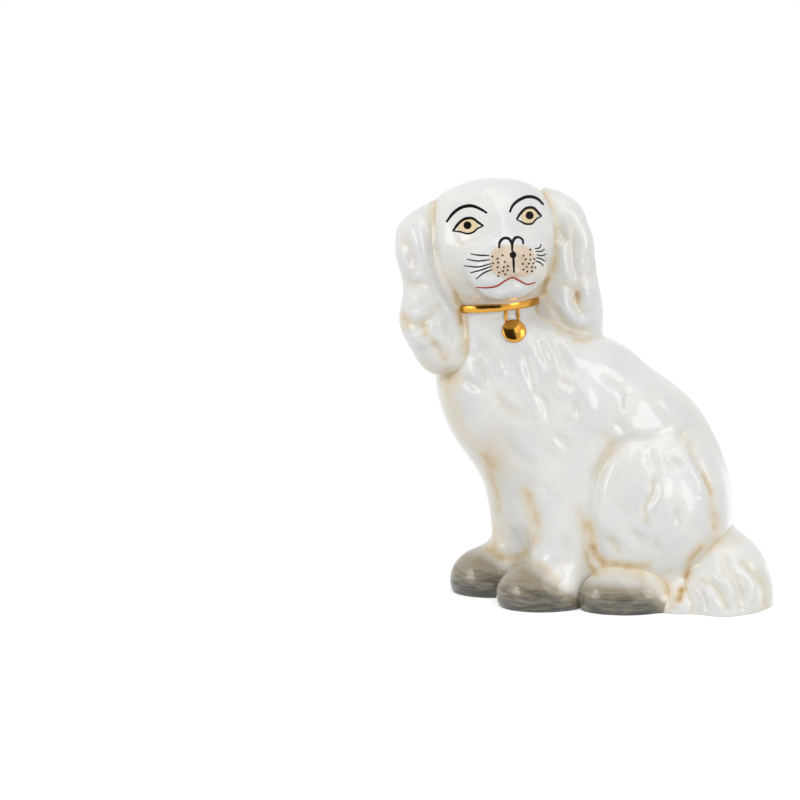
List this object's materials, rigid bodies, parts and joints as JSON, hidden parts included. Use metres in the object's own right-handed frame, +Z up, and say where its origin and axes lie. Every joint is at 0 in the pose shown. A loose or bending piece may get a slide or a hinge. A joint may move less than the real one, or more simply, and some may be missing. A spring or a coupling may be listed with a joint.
{
  "type": "staffordshire dog figure",
  "caption": "Seated spaniel mantelpiece figure in white glazed earthenware, head turned to face the viewer, with long wavy ears, a gilded collar and locket, and grey paws.",
  "frame": {"origin": "on the floor, in the middle of the figure's outline", "axes": "+Z up; +X from the chest to the tail; +Y away from the side that the face looks out from"},
  "size_m": [0.191, 0.1064, 0.2137],
  "materials": {
    "glazed_white": "gloss",
    "glazed_grey_paws": "gloss",
    "gold_lustre": "polished",
    "unglazed_foot": "matte"
  },
  "bodies": {
    "root": {"body_casting": "glazed_white", "base_slab": "unglazed_foot", "head_casting": "glazed_white", "right_ear": "glazed_white", "left_ear": "glazed_white", "right_foreleg": "glazed_white", "left_foreleg": "glazed_white", "right_hind_foot": "glazed_grey_paws", "left_hind_foot": "glazed_grey_paws", "tail": "glazed_white", "collar": "gold_lustre", "locket": "gold_lustre", "locket_links": "gold_lustre"}
  },
  "joints": []
}
